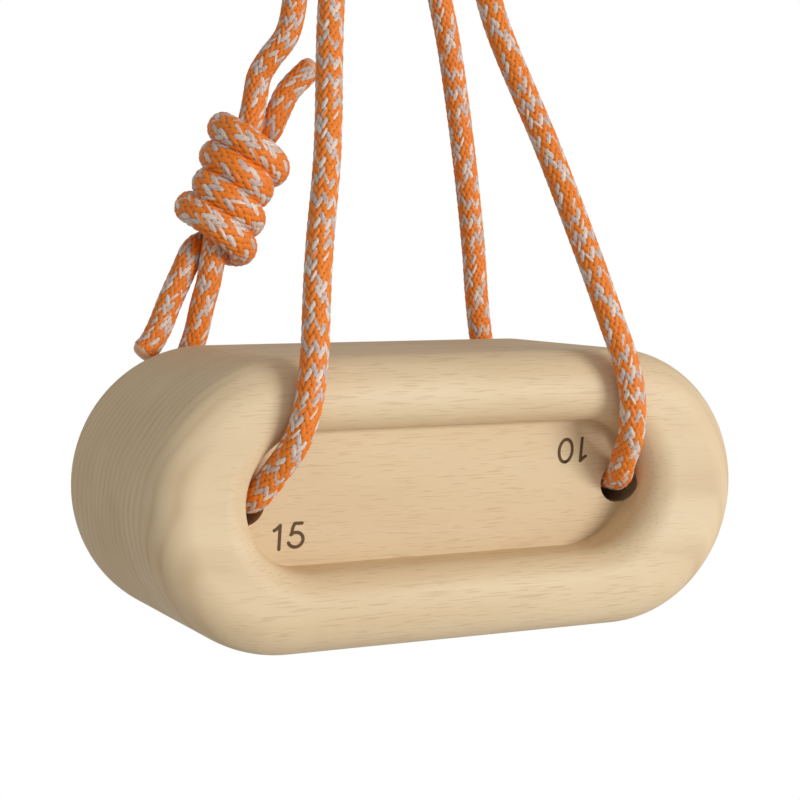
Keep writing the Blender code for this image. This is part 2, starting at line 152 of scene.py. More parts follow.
REAR_LEFT_UPPER = [
    (-23.6, 34.9, 99.0), (-21.6, 33.2, 103.2), (-17.9, 30.2, 109.4), (-15.9, 28.6, 122.0),
    (-14.7, 26.8, 136.0), (-13.6, 24.4, 149.0),
]
LOWER_TAIL = [(-46.1, 38.4, 43.4), (-48.8, 38.5, 37.0), (-51.1, 38.5, 33.0), (-52.8, 38.6, 31.2)]
UPPER_TAIL = [(-16.6, 33.5, 95.2), (-14.0, 32.7, 98.3), (-11.0, 31.8, 101.2)]
FRONT_NECK = [(13.6, 7.0, 149.0), (12.8, 11.6, 157.5), (11.9, 14.2, 165.5)]
REAR_NECK = [(13.6, 24.4, 149.0), (12.8, 22.2, 157.5), (11.9, 20.8, 165.5)]
BIGHT_RADIUS = 11.5
BIGHT_END_ANGLE = math.radians(12.0)
BIGHT_STEPS = 16
FRONT_BIGHT_Y = 14.3
REAR_BIGHT_Y = 20.7


def bight(y):
    """The half turn over the support, from its left end to its right end.

    x = radius cos(angle), z = pivot + radius sin(angle)
    """
    angle = np.linspace(math.pi - BIGHT_END_ANGLE, BIGHT_END_ANGLE, BIGHT_STEPS + 1)
    x = BIGHT_RADIUS * np.cos(angle)
    z = PIVOT[2] + BIGHT_RADIUS * np.sin(angle)
    return np.stack([x, np.full_like(x, y), z], axis=1)


def mirrored(points):
    return [(-x, y, z) for x, y, z in points]


print(len(FRONT_LEFT) + len(FRONT_RIGHT) + len(REAR_RIGHT), "points on the three plain legs")

# %% [markdown]
# ## The knot
#
# Each strand winds round the other. A strand's coil is a helix with its angle measured at the
# knot's own axis:
#
#     right = radius cos(angle) + drift        forward = radius sin(angle)
#     up    = pitch (angle - last crossing) / 360 - first crossing
#
# After its last turn in front the radius falls to nothing while it climbs faster, and from
# there the strand runs on as the core that the other one is wound round. The second strand is
# the same shape, turned half way round the direction that faces the front.

# %% The knot's two strands
KNOT_CENTRE = np.array([-31.24, 33.9, 71.25])
KNOT_AXIS = np.array([0.448, -0.064, 0.892])
KNOT_FRONT = np.array([-0.30, -0.949, 0.094])
COIL_RADIUS = 7.8
COIL_PITCH = 7.09
FIRST_CROSSING = 3.51
LAST_CROSSING = 90.0 + 360.0
START_ANGLE = -90.0
POINTS_PER_LOOP = 24
SWAP_START = LAST_CROSSING + 41.6
SWAP_ANGLE = 148.5
SWAP_RISE = 9.32
DRIFT = 1.8
DRIFT_START = 7.0
DRIFT_END = 16.0
COIL_TAIL = [(-1.8, -2.4, -23.7), (-1.9, -2.9, -21.0), (-1.9, -4.0, -18.4), (-0.9, -6.9, -15.8)]
COIL_CORE = [(-1.4, 0.0, 11.1), (-2.6, -0.2, 14.8), (-3.6, -0.5, 18.8), (-5.0, -0.9, 23.6)]


def ease(share):
    """A smooth step: 3 s^2 - 2 s^3, with s kept from 0 to 1."""
    share = np.clip(share, 0.0, 1.0)
    return share * share * (3 - 2 * share)


def coil():
    """(right, forward, up) of the lower strand from its first turn to where it meets the axis."""
    angle = np.arange(START_ANGLE, SWAP_START + SWAP_ANGLE, 360.0 / POINTS_PER_LOOP)
    share = np.clip((angle - SWAP_START) / SWAP_ANGLE, 0.0, 1.0)
    radius = COIL_RADIUS * (1 - ease(share) ** 0.83)
    climb = COIL_PITCH * (angle - LAST_CROSSING) / 360.0
    height = climb - FIRST_CROSSING + SWAP_RISE * share**1.86
    drift_share = ease((abs(height) - DRIFT_START) / (DRIFT_END - DRIFT_START))
    off_axis = -np.sign(height) * DRIFT * drift_share
    turn = np.radians(angle)
    return np.stack([radius * np.cos(turn) + off_axis, radius * np.sin(turn), height], axis=1)


def knot_strand(upper):
    """One strand from its tail, round its coil and out as the core, in the block's frame."""
    points = np.concatenate([COIL_TAIL, coil(), COIL_CORE])
    if upper:
        points = points * (-1, 1, -1)
    axis = KNOT_AXIS / np.linalg.norm(KNOT_AXIS)
    front = KNOT_FRONT - (KNOT_FRONT @ axis) * axis
    front = front / np.linalg.norm(front)
    side = np.cross(axis, front)
    return KNOT_CENTRE + points @ np.array([side, front, axis])


lower_strand = knot_strand(upper=False)
upper_strand = knot_strand(upper=True)
print("knot points:", len(lower_strand), "and", len(upper_strand))

# %% [markdown]
# ## One smooth line
#
# The stretches are joined end to end and a Catmull-Rom curve is drawn through all their
# points, so that the cord has no corner where one stretch hands over to the next. The curve is
# then cut into equal steps. At each step a direction across the cord is carried along with no
# spin of its own (each one is the last one with its part along the new direction taken out),
# which keeps the braid's columns straight.

# %% Join the stretches
STEP = 0.0003
STRETCHES = [
    ("lower_tail", [*LOWER_TAIL[::-1], lower_strand[0]]),
    ("knot_lower_coil", lower_strand),
    ("rear_left_upper_leg", [lower_strand[-1], *REAR_LEFT_UPPER]),
    ("rear_left_neck", [*mirrored(REAR_NECK), bight(REAR_BIGHT_Y)[0]]),
    ("rear_bight", bight(REAR_BIGHT_Y)),
    ("rear_right_neck", [bight(REAR_BIGHT_Y)[-1], *REAR_NECK[::-1]]),
    ("rear_right_leg", REAR_RIGHT[::-1]),
    ("cord_in_right_hole", RIGHT_HOLE[::-1]),
    ("front_right_leg", FRONT_RIGHT),
    ("front_right_neck", [*FRONT_NECK, bight(FRONT_BIGHT_Y)[-1]]),
    ("front_bight", bight(FRONT_BIGHT_Y)[::-1]),
    ("front_left_neck", [bight(FRONT_BIGHT_Y)[0], *mirrored(FRONT_NECK)[::-1]]),
    ("front_left_leg", FRONT_LEFT[::-1]),
    ("cord_in_left_hole", LEFT_HOLE),
    ("rear_left_leg", [*REAR_LEFT, upper_strand[-1]]),
    ("knot_upper_coil", upper_strand[::-1]),
    ("upper_tail", [upper_strand[0], *UPPER_TAIL]),
]
SAMPLES_PER_SPAN = 12


def smooth_curve(points):
    """A centripetal Catmull-Rom curve: twelve samples between each point and the next."""
    ends = np.array([2 * points[0] - points[1], *points, 2 * points[-1] - points[-2]])
    a, b, c, d = ends[:-3, None], ends[1:-2, None], ends[2:-1, None], ends[3:, None]

    def knot_after(start, p, q):
        return start + np.sqrt(np.linalg.norm(q - p, axis=2, keepdims=True))

    t1 = knot_after(0.0, a, b)
    t2 = knot_after(t1, b, c)
    t3 = knot_after(t2, c, d)
    share = np.arange(SAMPLES_PER_SPAN)[None, :, None] / SAMPLES_PER_SPAN
    t = t1 + (t2 - t1) * share
    ab = (t1 - t) / t1 * a + t / t1 * b
    bc = (t2 - t) / (t2 - t1) * b + (t - t1) / (t2 - t1) * c
    cd = (t3 - t) / (t3 - t2) * c + (t - t2) / (t3 - t2) * d
    left = (t2 - t) / t2 * ab + t / t2 * bc
    right_part = (t3 - t) / (t3 - t1) * bc + (t - t1) / (t3 - t1) * cd
    curve = (t2 - t) / (t2 - t1) * left + (t - t1) / (t2 - t1) * right_part
    return np.concatenate([curve.reshape(-1, 3), points[-1:]])


chain = [to_world(STRETCHES[0][1])]
corners = [0, len(STRETCHES[0][1]) - 1]
for _, stretch in STRETCHES[1:]:
    chain.append(to_world(stretch)[1:])
    corners.append(corners[-1] + len(stretch) - 1)
fine = smooth_curve(np.concatenate(chain))
steps = np.linalg.norm(np.diff(fine, axis=0), axis=1)
fine_along = np.concatenate([[0.0], np.cumsum(steps)])
corner_along = fine_along[np.array(corners) * SAMPLES_PER_SPAN]

along = [np.zeros(1)]
span_of = {}
for (name, _), first, last in zip(STRETCHES, corner_along, corner_along[1:]):
    count = round((last - first) / STEP)
    start = sum(len(part) for part in along) - 1
    span_of[name] = (start, start + count)
    along.append(np.linspace(first, last, count + 1)[1:])
along = np.concatenate(along)
centre = np.stack([np.interp(along, fine_along, fine[:, axis]) for axis in range(3)], axis=1)
print(f"the sling is {along[-1] * 1000:.0f} mm of cord in {len(centre)} rings")

# %% Carry a direction along the cord
heading = np.gradient(centre, axis=0)
heading = heading / np.linalg.norm(heading, axis=1, keepdims=True)
across = np.empty_like(heading)
carried = np.array([1.0, 0.0, 0.0])
for index, direction in enumerate(heading):
    carried = carried - (carried @ direction) * direction
    carried = carried / np.linalg.norm(carried)
    across[index] = carried
beside = np.cross(heading, across)
print("least length of the carried direction:", np.linalg.norm(across, axis=1).min().round(6))

# %% [markdown]
# ## The braid
#
# Twenty-eight ribbons of yarn are plaited round the core, half of them winding each way. On the
# unrolled sheath let `a` run from 0 to 14 round the cord and let `p` count picks along it. The
# ribbons of one family lie along the lines where `s = a - p` is a whole number, and those of
# the other along `z = a + p`. With i = round(s) and j = round(z), the first family is on top
# where (i + j) mod 4 is 0 or 1, and the second elsewhere. That is the two-over, two-under plait
# whose picks stand in slanting columns, like a herringbone.
#
# The same formula sets how high the sheath stands here and, in the material, its colours and the
# painted shade in its gaps.

# %% Height of the sheath
COLUMNS = 14
PICK = 0.0024
AROUND = 84
VALLEY_RADIUS = 0.00272
RELIEF = 0.00042
KNOT_SWELL = 0.12
KNOT_SPREAD = 0.13


def braid_height(column, picks):
    """How high the top ribbon stands, from 0 in the gaps to 1 in the middle of a ribbon.

    height = sqrt(1 - 0.8 across^2 - 0.75 along^4), both from -1 to 1 over a ribbon.
    """
    s = column - picks
    z = column + picks
    i = np.round(s)
    j = np.round(z)
    first_on_top = np.mod(i + j, 4) < 1.5
    across_ribbon = 2 * np.where(first_on_top, s - i, z - j)
    along_first = np.mod(z + i + 1.5, 4) - 2
    along_second = np.mod(s + j - 0.5, 4) - 2
    along_ribbon = np.where(first_on_top, along_first, along_second)
    along_ribbon = np.clip(along_ribbon, -1, 1)
    return np.sqrt(np.maximum(1 - 0.8 * across_ribbon**2 - 0.75 * along_ribbon**4, 0))


knot_axis = TURN @ (KNOT_AXIS / np.linalg.norm(KNOT_AXIS))
picks_at = along / PICK
swell = np.ones(len(along))
for name in ("knot_lower_coil", "knot_upper_coil"):
    first, last = span_of[name]
    share = np.linspace(0.0, 1.0, last - first + 1)
    swell[first:last + 1] += KNOT_SWELL * ease(share * 8) * ease((1 - share) * 8)
print("picks along the sling:", round(float(picks_at[-1])))


# %% Cord pieces
def object_of(name, vertices, faces):
    mesh = bpy.data.meshes.new(name)
    mesh.from_pydata(vertices.tolist(), [], faces)
    mesh.validate()
    made = bpy.data.objects.new(name, mesh)
    bpy.context.scene.collection.objects.link(made)
    mesh.shade_smooth()
    return made


def cord_piece(name, stretches):
    """A closed length of sheath over some neighbouring stretches of the sling.

    point = centre + swell (valley + relief height(a, p)) (cos(turn) across + sin(turn) beside)
    """
    first = span_of[stretches[0]][0]
    last = span_of[stretches[-1]][1]
    rings = np.arange(first, last + 1)
    column = np.arange(AROUND) * COLUMNS / AROUND
    turn = 2 * math.pi * column / COLUMNS
    height = braid_height(column[None], picks_at[rings, None])
    radius = (VALLEY_RADIUS + RELIEF * height) * swell[rings, None]
    turn = turn[None, :, None]
    spoke = np.cos(turn) * across[rings, None] + np.sin(turn) * beside[rings, None]
    offset = radius[..., None] * spoke
    spread = KNOT_SPREAD * (swell[rings, None] - 1) / KNOT_SWELL * (offset @ knot_axis)
    sheath = centre[rings, None] + offset + spread[..., None] * knot_axis
    vertices = np.concatenate([sheath.reshape(-1, 3), centre[[first, last]]])

    ring, point = np.meshgrid(np.arange(len(rings) - 1), np.arange(AROUND), indexing="ij")
    after = (point + 1) % AROUND
    sides = np.stack([
        ring * AROUND + point,
        ring * AROUND + after,
        (ring + 1) * AROUND + after,
        (ring + 1) * AROUND + point,
    ], axis=-1).reshape(-1, 4)
    place = np.arange(AROUND)
    next_place = (place + 1) % AROUND
    end_ring = (len(rings) - 1) * AROUND
    tail_hub = len(vertices) - 2
    head_hub = len(vertices) - 1
    start_cap = np.stack([np.full(AROUND, tail_hub), next_place, place], axis=1)
    end_cap = np.stack([np.full(AROUND, head_hub), end_ring + place, end_ring + next_place], axis=1)
    faces = [*sides.tolist(), *start_cap.tolist(), *end_cap.tolist()]
    made = object_of(name, vertices, faces)

    side_u = np.stack([point, point + 1, point + 1, point], axis=-1) * COLUMNS / AROUND
    side_v = picks_at[rings[np.stack([ring, ring, ring + 1, ring + 1], axis=-1)]]
    side_uv = np.stack([side_u, side_v], axis=-1).reshape(-1, 2)
    cap_uv = np.zeros((AROUND * 6, 2))
    layer = made.data.uv_layers.new(name="braid")
    layer.data.foreach_set("uv", np.concatenate([side_uv, cap_uv]).ravel())
    made.data.set_sharp_from_angle(angle=math.radians(75))
    return made


PIECES = {
    "strand_to_lower_tail": ["lower_tail", "knot_lower_coil", "rear_left_upper_leg"],
    "rear_left_neck_cord": ["rear_left_neck"],
    "rear_bight_cord": ["rear_bight"],
    "rear_right_neck_cord": ["rear_right_neck"],
    "rear_right_cord": ["rear_right_leg"],
    "right_hole_cord": ["cord_in_right_hole"],
    "front_right_cord": ["front_right_leg"],
    "front_right_neck_cord": ["front_right_neck"],
    "front_bight_cord": ["front_bight"],
    "front_left_neck_cord": ["front_left_neck"],
    "front_left_cord": ["front_left_leg"],
    "left_hole_cord": ["cord_in_left_hole"],
    "strand_to_upper_tail": ["rear_left_leg", "knot_upper_coil", "upper_tail"],
}
cords = {name: cord_piece(name, stretches) for name, stretches in PIECES.items()}
print(len(cords), "cord pieces,", sum(len(c.data.polygons) for c in cords.values()), "faces")

# %% [markdown]
# ## The melted ends
#
# Each tail ends in a small rounded bead, where the cut cord was sealed with a flame. It is a
# surface of revolution about the tail's own direction: radius = r cos(u)^0.6, reach = l sin(u).

# %% Melted ends
TIP_RADIUS = 0.0029
TIP_REACH = 0.0018
TIP_AROUND = 48
TIP_RINGS = 14


def melted_tip(name, at, outward, sideways):
    u = np.linspace(0, math.pi / 2, TIP_RINGS, endpoint=False)
    turn = np.arange(TIP_AROUND) * 2 * math.pi / TIP_AROUND
    lumps = 1 + 0.03 * np.sin(3 * turn + 1) + 0.02 * np.sin(7 * turn)
    radius = TIP_RADIUS * np.cos(u)[:, None] ** 0.6 * lumps[None]
    reach = TIP_REACH * np.sin(u)[:, None, None]
    third = np.cross(outward, sideways)
    spoke = np.cos(turn)[None, :, None] * sideways + np.sin(turn)[None, :, None] * third
    shell = at + reach * outward + radius[..., None] * spoke
    vertices = np.concatenate([shell.reshape(-1, 3), [at, at + TIP_REACH * outward]])
    ring, point = np.meshgrid(np.arange(TIP_RINGS - 1), np.arange(TIP_AROUND), indexing="ij")
    after = (point + 1) % TIP_AROUND
    sides = np.stack([
        ring * TIP_AROUND + point,
        ring * TIP_AROUND + after,
        (ring + 1) * TIP_AROUND + after,
        (ring + 1) * TIP_AROUND + point,
    ], axis=-1).reshape(-1, 4)
    place = np.arange(TIP_AROUND)
    next_place = (place + 1) % TIP_AROUND
    last_ring = (TIP_RINGS - 1) * TIP_AROUND
    base = np.stack([np.full(TIP_AROUND, len(vertices) - 2), next_place, place], axis=1)
    crown_hub = np.full(TIP_AROUND, len(vertices) - 1)
    crown = np.stack([crown_hub, last_ring + place, last_ring + next_place], axis=1)
    return object_of(name, vertices, [*sides.tolist(), *base.tolist(), *crown.tolist()])


tips = {
    "lower_tail_end": melted_tip("lower_tail_end", centre[0], -heading[0], across[0]),
    "upper_tail_end": melted_tip("upper_tail_end", centre[-1], heading[-1], across[-1]),
}
print("melted ends:", ", ".join(tips))

# %% [markdown]
# ## What each cord piece rides on
#
# The bights, the necks, the legs and the melted ends stay fixed where they are drawn. Only the
# cord in the two holes rides on the block's body, with the block.

for name in ("rear_bight_cord", "front_bight_cord"):
    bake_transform(cords[name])
for name in ("rear_left_neck_cord", "rear_right_neck_cord",
             "front_left_neck_cord", "front_right_neck_cord"):
    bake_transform(cords[name])
for name in ("right_hole_cord", "left_hole_cord"):
    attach(cords[name], "hangboard")
LEGS = (
    "strand_to_lower_tail", "rear_right_cord", "front_right_cord",
    "front_left_cord", "strand_to_upper_tail",
)
for piece in [*(cords[name] for name in LEGS), *tips.values()]:
    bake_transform(piece)

for name, stretches in PIECES.items():
    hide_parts(*stretches)
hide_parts("lower_tail_tip")
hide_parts("upper_tail_tip")

DECLARED = {
    "strand_to_lower_tail": ("last", "bare", ("rear_left_neck_cord", "lower_tail_end")),
    "rear_right_cord": ("last", "object", ("rear_right_neck_cord", "rear_bight_cord")),
    "front_right_cord": ("first", "object", ("front_right_neck_cord", "right_hole_cord")),
    "front_left_cord": ("last", "object", ("front_left_neck_cord", "front_bight_cord")),
    "strand_to_upper_tail": ("first", "bare", ("left_hole_cord", "upper_tail_end")),
}
for name, (leaves_at, far_end, others) in DECLARED.items():
    first = span_of[PIECES[name][0]][0]
    last = span_of[PIECES[name][-1]][1]
    centre[first:last + 1:3].tolist()

# %% [markdown]
# ## Shader trees in a few words
#
# A `Wire` is the output of a shader node. Sums, products and comparisons of wires make Math
# nodes, and `node` makes any other kind from its type, its settings and what goes into its
# sockets.

# %% Wires


class Wire:
    """A value in a material's node tree that can be written with like a number."""

    def __init__(self, tree, socket):
        self.tree = tree
        self.socket = socket

    def math(self, operation, *others):
        sockets = dict(enumerate((self, *others)))
        return node(self.tree, "ShaderNodeMath", {"operation": operation}, sockets)

    def __add__(self, other):
        return self.math("ADD", other)

    def __sub__(self, other):
        return self.math("SUBTRACT", other)

    def __rsub__(self, other):
        return node(self.tree, "ShaderNodeMath", {"operation": "SUBTRACT"}, {0: other, 1: self})

    def __mul__(self, other):
        return self.math("MULTIPLY", other)

    def __truediv__(self, other):
        return self.math("DIVIDE", other)

    def __pow__(self, other):
        return self.math("POWER", other)

    def __mod__(self, other):
        return self.math("FLOORED_MODULO", other)

    def __lt__(self, other):
        return self.math("LESS_THAN", other)

    def __abs__(self):
        return self.math("ABSOLUTE")

    __radd__ = __add__
    __rmul__ = __mul__

    def round(self):
        return self.math("ROUND")

    def clamped(self):
        return self.math("MINIMUM", 1.0).math("MAXIMUM", 0.0)

    def output(self, name):
        """Another output of the same node."""
        return Wire(self.tree, self.socket.node.outputs[name])


def node(tree, kind, settings=None, sockets=None, output=0):
    """Adds a node and gives its output as a wire."""
    made = tree.nodes.new(kind)
    for key, value in (settings or {}).items():
        setattr(made, key, value)
    for key, value in (sockets or {}).items():
        feed(tree, made.inputs[key], value)
    return Wire(tree, made.outputs[output])


def feed(tree, socket, value):
    if isinstance(value, Wire):
        tree.links.new(value.socket, socket)
    else:
        socket.default_value = value


def choose(condition, when_true, when_false):
    return when_false + condition * (when_true - when_false)


def mix_colour(tree, share, first, second, blend="MIX"):
    settings = {"data_type": "RGBA", "blend_type": blend}
    return node(tree, "ShaderNodeMix", settings, {0: share, 6: first, 7: second}, output=2)


def white_noise(tree, number):
    """A random value from 0 to 1 for each number."""
    return node(tree, "ShaderNodeTexWhiteNoise", {"noise_dimensions": "1D"}, {"W": number})


def vector(tree, x, y, z):
    return node(tree, "ShaderNodeCombineXYZ", None, {0: x, 1: y, 2: z})


def bump(tree, strength, distance, height, **below):
    """Relief of height times distance, in metres, over the Normal that is given, if one is."""
    sockets = {"Strength": strength, "Distance": distance, "Height": height, **below}
    return node(tree, "ShaderNodeBump", None, sockets)


def new_material(name, roughness):
    made = bpy.data.materials.new(name)
    made.use_nodes = True
    shader = made.node_tree.nodes["Principled BSDF"]
    shader.inputs["Roughness"].default_value = roughness
    return made, made.node_tree, shader


print("wires ready")

# %% [markdown]
# ## The braid's colours
#
# The material works out the same ribbons from the sheath's own coordinates, then gives each
# ribbon a colour by its number: bright orange for most, and a streaky mix of pale and grey
# yarn for the rest. Three ribbons in ten are laid from two yarns side by side, which may differ.
# Fine filaments run along each ribbon, and the gaps between ribbons are painted dark, as shade that
# falls into the crevices.

# %% Orange braid
ORANGE = (1.0, 0.30, 0.015, 1.0)
DEEP_ORANGE = (0.94, 0.215, 0.010, 1.0)
PALE = (0.96, 0.80, 0.68, 1.0)
GREY = (0.50, 0.35, 0.31, 1.0)
# The gap colour is painted shade: the dark colour laid into the gaps between ribbons, where shade
# falls.
GAP_SHADE = (0.50, 0.115, 0.012, 1.0)
ORANGE_SHARE = 0.63
MIXED_SHARE = 0.3
SECOND_YARN = 0.43

braid, tree, shader = new_material("orange_braid", 0.42)
place = node(tree, "ShaderNodeUVMap", {"uv_map": "braid"})
split = node(tree, "ShaderNodeSeparateXYZ", None, {0: place})
column = split.output("X")
picks = split.output("Y")
s = column - picks
z = column + picks
i = s.round()
j = z.round()
first_on_top = (i + j) % 4 < 1.5
across_ribbon = choose(first_on_top, s - i, z - j) * 2
along_ribbon = choose(first_on_top, (z + i + 1.5) % 4 - 2, (s + j - 0.5) % 4 - 2)
height = (1 - across_ribbon**2 * 0.8 - along_ribbon**4 * 0.75).math("MAXIMUM", 0.0).math("SQRT")

ribbon = choose(first_on_top, i % COLUMNS, j % COLUMNS + COLUMNS)
mixed = white_noise(tree, ribbon * 2.71 + 0.6) < MIXED_SHARE
other_yarn = (across_ribbon < 0.0) * mixed * SECOND_YARN
chance = white_noise(tree, ribbon * 1.37 + other_yarn + 4.1)
streak_place = vector(tree, across_ribbon * 4.5, along_ribbon * 0.8, ribbon * 3.1 + picks * 0.3)
streak_sockets = {"Vector": streak_place, "Scale": 1.6, "Detail": 2.0}
streak = node(tree, "ShaderNodeTexNoise", None, streak_sockets)
fibres = (across_ribbon * 22 + streak * 9).math("SINE")
silk = mix_colour(tree, ((streak - 0.40) * 3.0).clamped(), DEEP_ORANGE, ORANGE)
is_orange = chance < ORANGE_SHARE
whiteness = (chance - ORANGE_SHARE) * 1.6 + (streak - 0.5) * 2.4 + fibres * 0.14
pale_share = (0.25 + whiteness).clamped()
yarn_colour = mix_colour(tree, pale_share, GREY, PALE)
dyed = mix_colour(tree, is_orange, yarn_colour, silk)
shine = 0.95 + fibres * 0.08 + (streak - 0.5) * 0.4
lit = mix_colour(tree, 1.0, dyed, vector(tree, shine, shine, shine), blend="MULTIPLY")
# Painted shade: towards the gaps between ribbons the colour turns to the dark gap colour.
clear_of_gap_shade = (height * 1.7).clamped()
feed(tree, shader.inputs["Base Color"], mix_colour(tree, clear_of_gap_shade, GAP_SHADE, lit))
feed(tree, shader.inputs["Normal"], bump(tree, 0.6, 0.00006, fibres * 0.5 + height))
shader.inputs["Sheen Weight"].default_value = 0.05
shader.inputs["Sheen Roughness"].default_value = 0.4
for piece in cords.values():
    piece.data.materials.append(braid)
print("braid material:", len(tree.nodes), "nodes")

# %% Melted nylon
MELTED_ORANGE = (0.80, 0.30, 0.080, 1.0)
MELTED_PALE = (0.78, 0.56, 0.42, 1.0)

melted, tree, shader = new_material("melted_end", 0.38)
place = node(tree, "ShaderNodeTexCoord", output="Object")
blotch = node(tree, "ShaderNodeTexNoise", None, {"Vector": place, "Scale": 900.0, "Detail": 3.0})
melted_colour = mix_colour(tree, blotch, MELTED_ORANGE, MELTED_PALE)
feed(tree, shader.inputs["Base Color"], melted_colour)
feed(tree, shader.inputs["Normal"], bump(tree, 0.5, 0.0002, blotch))
for tip in tips.values():
    tip.data.materials.append(melted)
print("melted material:", len(tree.nodes), "nodes")

# %% [markdown]
# ## The block
#
# Seen from the front, the block is a bar with half-round ends. Its surface is one skin drawn
# through rings of that outline, from the back face round the back edge, along the sides, round
# the front edge, over the lip of the pocket and down its wall to the slanted floor. A rounded
# edge of radius r steps in by r (1 - cos a) while it goes down by r (1 - sin a). The two cord
# holes are then drilled through it.

# %% The skin of the block
LENGTH, HEIGHT, DEPTH = 150.0, 66.0, 68.0
FRONT_FILLET, BACK_FILLET, LIP_RADIUS = 9.5, 8.0, 6.95
FLOOR_LENGTH, FLOOR_HEIGHT = 101.4, 31.0
POCKET_X, POCKET_Z = -1.5, 1.0
LEDGES = (15.0, 10.0)
FRONT = -DEPTH / 2
BACK = DEPTH / 2
END_SIDES = 72
EDGE_STEPS = 20
SUPPORT = 0.25


def stadium(length, height, centre_x=0.0, centre_z=0.0):
    """(x, z) once round a bar with half-round ends: x = reach + r cos(a), z = r sin(a)."""
    angle = np.linspace(-math.pi / 2, math.pi / 2, END_SIDES + 1)
    x = (length - height) / 2 + height / 2 * np.cos(angle)
    z = height / 2 * np.sin(angle)
    half = np.stack([x, z], axis=1)
    return np.concatenate([half, -half]) + (centre_x, centre_z)


def rounded_edge(radius):
    """(step in, way down) from the flat face to the side."""
    angle = np.linspace(math.pi / 2, 0.0, EDGE_STEPS + 1)
    return np.stack([radius * (1 - np.cos(angle)), radius * (1 - np.sin(angle))], axis=1)


def ring(outline, y):
    return np.stack([outline[:, 0], np.broadcast_to(y, len(outline)), outline[:, 1]], axis=1)


def lofted(name, rings):
    """A closed skin through rings that run from the back to the front."""
    vertices = np.concatenate(rings)
    count = len(rings[0])
    row, spot = np.meshgrid(np.arange(len(rings) - 1), np.arange(count), indexing="ij")
    after = (spot + 1) % count
    here = row * count
    there = here + count
    sides = np.stack([here + spot, here + after, there + after, there + spot], axis=-1)
    back_face = np.arange(count)[::-1]
    front_face = np.arange(count) + (len(rings) - 1) * count
    faces = [back_face.tolist(), *sides.reshape(-1, 4).tolist(), front_face.tolist()]
    return object_of(name, to_world(vertices), faces)


def outer(step_in, y):
    return ring(stadium(LENGTH - 2 * step_in, HEIGHT - 2 * step_in), y)


def pocket(step_out, y):
    length = FLOOR_LENGTH + 2 * step_out
    height = FLOOR_HEIGHT + 2 * step_out
    return ring(stadium(length, height, POCKET_X, POCKET_Z), y)


def floor_y(z):
    """The slanted floor: half way between the two ledge depths at the pocket's middle."""
    return FRONT + sum(LEDGES) / 2 - (LEDGES[0] - LEDGES[1]) / FLOOR_HEIGHT * (z - POCKET_Z)


back_edge = rounded_edge(BACK_FILLET)
front_edge = rounded_edge(FRONT_FILLET)[::-1]
lip = rounded_edge(LIP_RADIUS)
floor_outline = pocket(0.0, 0.0)
floor_inner = pocket(-SUPPORT, 0.0)
side_rows = np.linspace(BACK - BACK_FILLET - SUPPORT, FRONT + FRONT_FILLET + SUPPORT, 9)
skin = [
    outer(BACK_FILLET + SUPPORT, BACK),
    *[outer(step_in, BACK - down) for step_in, down in back_edge],
    *[outer(0.0, y) for y in side_rows],
    *[outer(step_in, FRONT + down) for step_in, down in front_edge],
    *[pocket(step_in, FRONT + down) for step_in, down in lip],
    pocket(0.0, FRONT + LIP_RADIUS + SUPPORT),
    ring(floor_outline[:, [0, 2]], floor_y(floor_outline[:, 2]) - SUPPORT),
    ring(floor_outline[:, [0, 2]], floor_y(floor_outline[:, 2])),
    ring(floor_inner[:, [0, 2]], floor_y(floor_inner[:, 2])),
]
blank = lofted("block_blank", skin)
print("block skin:", len(blank.data.vertices), "points")

# %% The cord holes
HOLE_RADIUS = 5.0
HOLE_REACH = 48.5
HOLE_Z = 0.4
HOLE_FLARE = 2.5
HOLE_TAPER = ((3.9, 2.6), (2.0, 5.2))
HOLE_SIDES = 96


def drill(name, x):
    """A round cutter with a flare at the back and a short taper where it meets the pocket."""
    flare = rounded_edge(HOLE_FLARE)
    floor_depth = FRONT + sum(LEDGES) / 2
    stations = [(HOLE_RADIUS + 2 * HOLE_FLARE, BACK + HOLE_FLARE)]
    stations += [(HOLE_RADIUS + HOLE_FLARE - step_in, BACK - down) for step_in, down in flare]
    stations += [(HOLE_RADIUS, floor_depth)]
    stations += [(radius, floor_depth - further) for radius, further in HOLE_TAPER]
    angle = np.arange(HOLE_SIDES) * 2 * math.pi / HOLE_SIDES
    circle = np.stack([np.cos(angle), np.sin(angle)], axis=1)
    return lofted(name, [ring(radius * circle + (x, HOLE_Z), y) for radius, y in stations])


drills = [drill("left_drill", POCKET_X - HOLE_REACH), drill("right_drill", POCKET_X + HOLE_REACH)]
for cutter in drills:
    boolean = blank.modifiers.new(cutter.name, "BOOLEAN")
    boolean.operation = "DIFFERENCE"
    boolean.solver = "EXACT"
    boolean.object = cutter
bpy.context.view_layer.update()
finished_blank = blank.evaluated_get(bpy.context.evaluated_depsgraph_get())
drilled = bpy.data.meshes.new_from_object(finished_blank)
block = bpy.data.objects.new("wooden_block", drilled)
bpy.context.scene.collection.objects.link(block)
for used in [blank, *drills]:
    bpy.data.objects.remove(used)
drilled.shade_smooth()
drilled.set_sharp_from_angle(angle=math.radians(30))
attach(block, "hangboard")
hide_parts("hangboard_block")
print("drilled block:", len(drilled.polygons), "faces")

# %% [markdown]
# ## Beech
#
# The grain runs along the block. Beech shows three things at this size. The growth rings are
# nearly flat sheets, here a little curved about a far axis behind the block, and they are
# plainest on the round ends. The rays are thin sheets that cross the rings: they show as short
# faint flecks, which fade out towards the ends. The pores give a fine streak along the grain.
# From about 20 mm behind the front face the wood is a little warmer. Everything is worked out
# from (x, y, z), millimetres from the pivot along the block's own directions, so the figure
# runs on from one face to the next.

